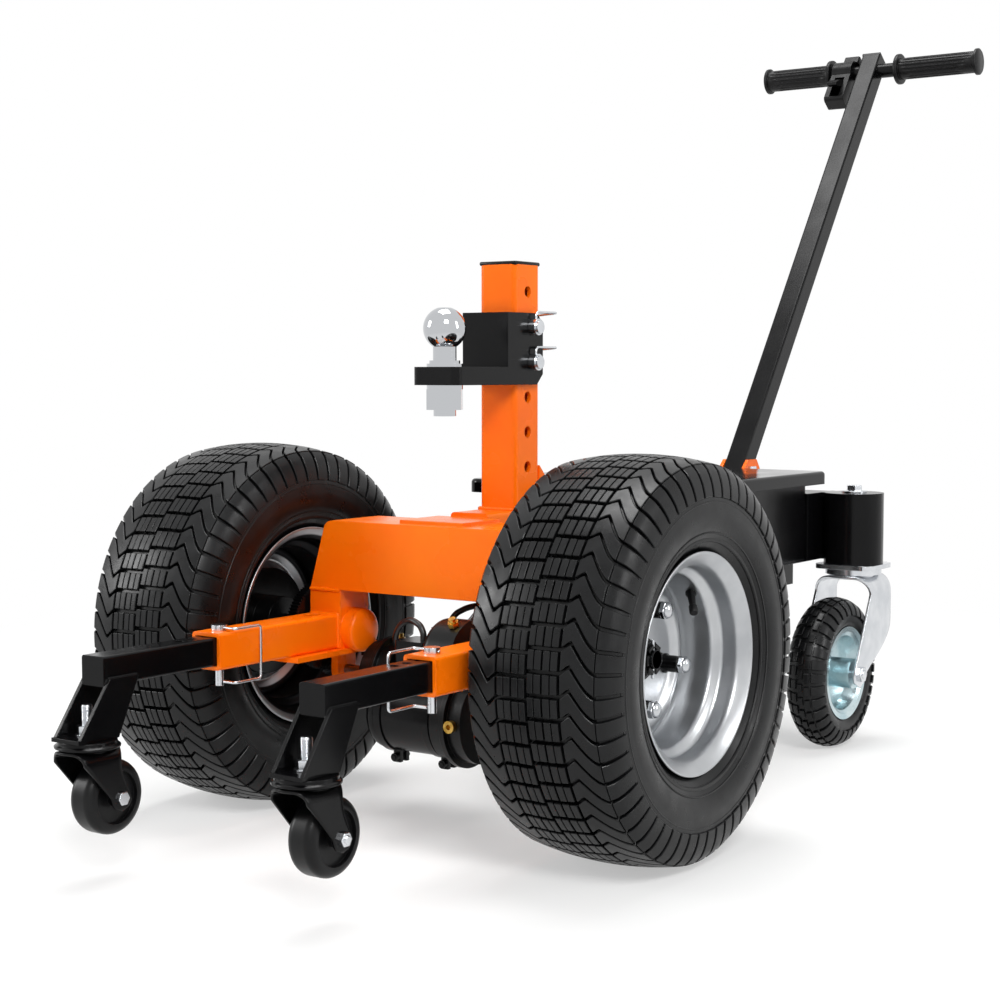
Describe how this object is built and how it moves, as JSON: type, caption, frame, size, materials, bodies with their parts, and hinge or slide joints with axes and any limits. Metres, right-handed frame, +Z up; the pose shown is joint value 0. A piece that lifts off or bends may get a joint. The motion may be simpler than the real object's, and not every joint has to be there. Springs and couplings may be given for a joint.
{
  "type": "electric trailer dolly",
  "caption": "Electric trailer dolly with two driven wheels, swivel casters, a hitch ball on a drilled post and a pull handle.",
  "frame": {"origin": "middle of the footprint, on the ground", "axes": "+X to the right seen from the front, the ball's side, along the wheel axle; +Y to the handle; +Z up; the hitch ball is towards -Y"},
  "size_m": [0.6794, 1.5914, 1.0024],
  "materials": {
    "orange_steel": "gloss",
    "black_steel": "satin",
    "gloss_lid": "gloss",
    "black_cast": "satin",
    "chrome_ball": "polished",
    "zinc_steel": "satin",
    "gear_steel": "satin",
    "aluminium_fins": "matte",
    "silver_rim": "gloss",
    "tyre_rubber": "matte",
    "black_rubber": "matte",
    "cable_rubber": "satin",
    "black_plastic": "matte",
    "brass_plug": "satin"
  },
  "bodies": {
    "frame": {"main_frame": "orange_steel", "hitch_post": "orange_steel", "ball_mount": "black_steel", "hitch_ball": "chrome_ball", "upper_hitch_pin": "zinc_steel", "lower_hitch_pin": "zinc_steel", "right_lock_pin": "zinc_steel", "left_lock_pin": "zinc_steel", "axle_bearings": "gear_steel", "rear_chassis": "black_steel", "battery_box": "black_steel", "batteries": "black_plastic", "controller": "aluminium_fins", "charge_socket": "black_plastic", "right_gear_case": "black_cast", "left_gear_case": "black_cast", "motor_housings": "black_steel", "motor_bands": "black_steel", "oil_plugs": "brass_plug", "motor_cables": "cable_rubber", "handle_bracket": "orange_steel", "rear_caster_plates": "zinc_steel", "frame_bolts": "zinc_steel"},
    "right_wheel": {"right_tyre": "tyre_rubber", "right_rim": "silver_rim", "right_hub": "black_steel", "right_wheel_fasteners": "zinc_steel"},
    "right_counter": {"right_countershaft": "gear_steel"},
    "right_rotor": {"right_motor_rotor": "gear_steel"},
    "right_arm_slide": {"right_arm": "black_steel", "right_caster_stem": "zinc_steel"},
    "right_front_swivel": {"right_front_fork": "black_steel"},
    "right_front_roller": {"right_front_wheel": "black_rubber"},
    "right_bail": {"right_pin_bail": "zinc_steel"},
    "right_rear_swivel": {"right_rear_fork": "zinc_steel"},
    "right_rear_wheel": {"right_rear_rim": "zinc_steel", "right_rear_tyre": "tyre_rubber"},
    "left_wheel": {"left_tyre": "tyre_rubber", "left_rim": "silver_rim", "left_hub": "black_steel", "left_wheel_fasteners": "zinc_steel"},
    "left_counter": {"left_countershaft": "gear_steel"},
    "left_rotor": {"left_motor_rotor": "gear_steel"},
    "left_arm_slide": {"left_arm": "black_steel", "left_caster_stem": "zinc_steel"},
    "left_front_swivel": {"left_front_fork": "black_steel"},
    "left_front_roller": {"left_front_wheel": "black_rubber"},
    "left_bail": {"left_pin_bail": "zinc_steel"},
    "left_rear_swivel": {"left_rear_fork": "zinc_steel"},
    "left_rear_wheel": {"left_rear_rim": "zinc_steel", "left_rear_tyre": "tyre_rubber"},
    "upper_clip": {"upper_pin_clip": "zinc_steel"},
    "lower_clip": {"lower_pin_clip": "zinc_steel"},
    "lid": {"box_lid": "gloss_lid"},
    "latch": {"lid_latch": "zinc_steel"},
    "handle": {"handle": "black_steel", "handle_grips": "black_rubber", "throttle_housing": "black_plastic"},
    "throttle": {"throttle_lever": "black_plastic"},
    "switch": {"direction_switch": "black_plastic"}
  },
  "joints": [
    {"name": "right_wheel_spin", "type": "hinge", "parent": "frame", "child": "right_wheel", "pos_m": [0.2565, -0.37822, 0.209], "axis": [1, 0, 0], "continuous": true},
    {"name": "right_counter_spin", "type": "hinge", "parent": "frame", "child": "right_counter", "pos_m": [0.1, -0.40077, 0.15747], "axis": [1, 0, 0], "continuous": true},
    {"name": "right_rotor_spin", "type": "hinge", "parent": "frame", "child": "right_rotor", "pos_m": [0.03, -0.42922, 0.135], "axis": [1, 0, 0], "continuous": true},
    {"name": "right_arm_length", "type": "slide", "parent": "frame", "child": "right_arm_slide", "axis": [0, 1, 0], "range_m": [-0.06, 0.06]},
    {"name": "right_front_caster_swivel", "type": "hinge", "parent": "right_arm_slide", "child": "right_front_swivel", "pos_m": [0.1405, -0.76322, 0.12], "axis": [0, 0, 1], "continuous": true},
    {"name": "right_front_caster_roll", "type": "hinge", "parent": "right_front_swivel", "child": "right_front_roller", "pos_m": [0.1405, -0.73922, 0.0825], "axis": [1, 0, 0], "continuous": true},
    {"name": "right_bail_swing", "type": "hinge", "parent": "frame", "child": "right_bail", "pos_m": [0.1405, -0.57622, 0.2316], "axis": [-1, 0, 0], "range_deg": [0, 27]},
    {"name": "right_rear_caster_swivel", "type": "hinge", "parent": "frame", "child": "right_rear_swivel", "pos_m": [0.171, 0.34178, 0.22], "axis": [0, 0, 1], "continuous": true},
    {"name": "right_rear_caster_roll", "type": "hinge", "parent": "right_rear_swivel", "child": "right_rear_wheel", "pos_m": [0.171, 0.27578, 0.1], "axis": [1, 0, 0], "continuous": true},
    {"name": "left_wheel_spin", "type": "hinge", "parent": "frame", "child": "left_wheel", "pos_m": [-0.2565, -0.37822, 0.209], "axis": [1, 0, 0], "continuous": true},
    {"name": "left_counter_spin", "type": "hinge", "parent": "frame", "child": "left_counter", "pos_m": [-0.1, -0.35566, 0.15747], "axis": [1, 0, 0], "continuous": true},
    {"name": "left_rotor_spin", "type": "hinge", "parent": "frame", "child": "left_rotor", "pos_m": [-0.03, -0.32722, 0.135], "axis": [1, 0, 0], "continuous": true},
    {"name": "left_arm_length", "type": "slide", "parent": "frame", "child": "left_arm_slide", "axis": [0, 1, 0], "range_m": [-0.06, 0.06]},
    {"name": "left_front_caster_swivel", "type": "hinge", "parent": "left_arm_slide", "child": "left_front_swivel", "pos_m": [-0.1405, -0.76322, 0.12], "axis": [0, 0, 1], "continuous": true},
    {"name": "left_front_caster_roll", "type": "hinge", "parent": "left_front_swivel", "child": "left_front_roller", "pos_m": [-0.1405, -0.73922, 0.0825], "axis": [1, 0, 0], "continuous": true},
    {"name": "left_bail_swing", "type": "hinge", "parent": "frame", "child": "left_bail", "pos_m": [-0.1405, -0.57622, 0.2316], "axis": [1, 0, 0], "range_deg": [0, 27]},
    {"name": "left_rear_caster_swivel", "type": "hinge", "parent": "frame", "child": "left_rear_swivel", "pos_m": [-0.171, 0.34178, 0.22], "axis": [0, 0, 1], "continuous": true},
    {"name": "left_rear_caster_roll", "type": "hinge", "parent": "left_rear_swivel", "child": "left_rear_wheel", "pos_m": [-0.171, 0.27578, 0.1], "axis": [1, 0, 0], "continuous": true},
    {"name": "upper_clip_swing", "type": "hinge", "parent": "frame", "child": "upper_clip", "pos_m": [0.0361, -0.23822, 0.552], "axis": [0, 0, -1], "range_deg": [0, 100]},
    {"name": "lower_clip_swing", "type": "hinge", "parent": "frame", "child": "lower_clip", "pos_m": [0.0361, -0.23822, 0.512], "axis": [0, 0, -1], "range_deg": [0, 100]},
    {"name": "lid_hinge", "type": "hinge", "parent": "frame", "child": "lid", "pos_m": [-0.14, 0.08778, 0.342], "axis": [0, -1, 0], "range_deg": [0, 100]},
    {"name": "latch_hinge", "type": "hinge", "parent": "lid", "child": "latch", "pos_m": [0.1425, 0.05178, 0.346], "axis": [0, -1, 0], "range_deg": [0, 80]},
    {"name": "handle_tilt", "type": "hinge", "parent": "frame", "child": "handle", "pos_m": [0, 0.32728, 0.361], "axis": [1, 0, 0], "range_deg": [-12, 35.8]},
    {"name": "throttle_press", "type": "hinge", "parent": "handle", "child": "throttle", "pos_m": [-0.042, 0.74664, 0.95613], "axis": [1, 0, 0], "range_deg": [0, 20], "stiffness_Nm_per_rad": 0.3},
    {"name": "direction_rock", "type": "hinge", "parent": "handle", "child": "switch", "pos_m": [-0.034, 0.77971, 0.99172], "axis": [1, 0, 0], "range_deg": [-12, 12]}
  ],
  "couplings": [
    {"joint": "right_counter_spin", "follows": "right_wheel_spin", "ratio": -6.5},
    {"joint": "right_rotor_spin", "follows": "right_wheel_spin", "ratio": 24.917},
    {"joint": "left_counter_spin", "follows": "left_wheel_spin", "ratio": -6.5},
    {"joint": "left_rotor_spin", "follows": "left_wheel_spin", "ratio": 24.917}
  ]
}
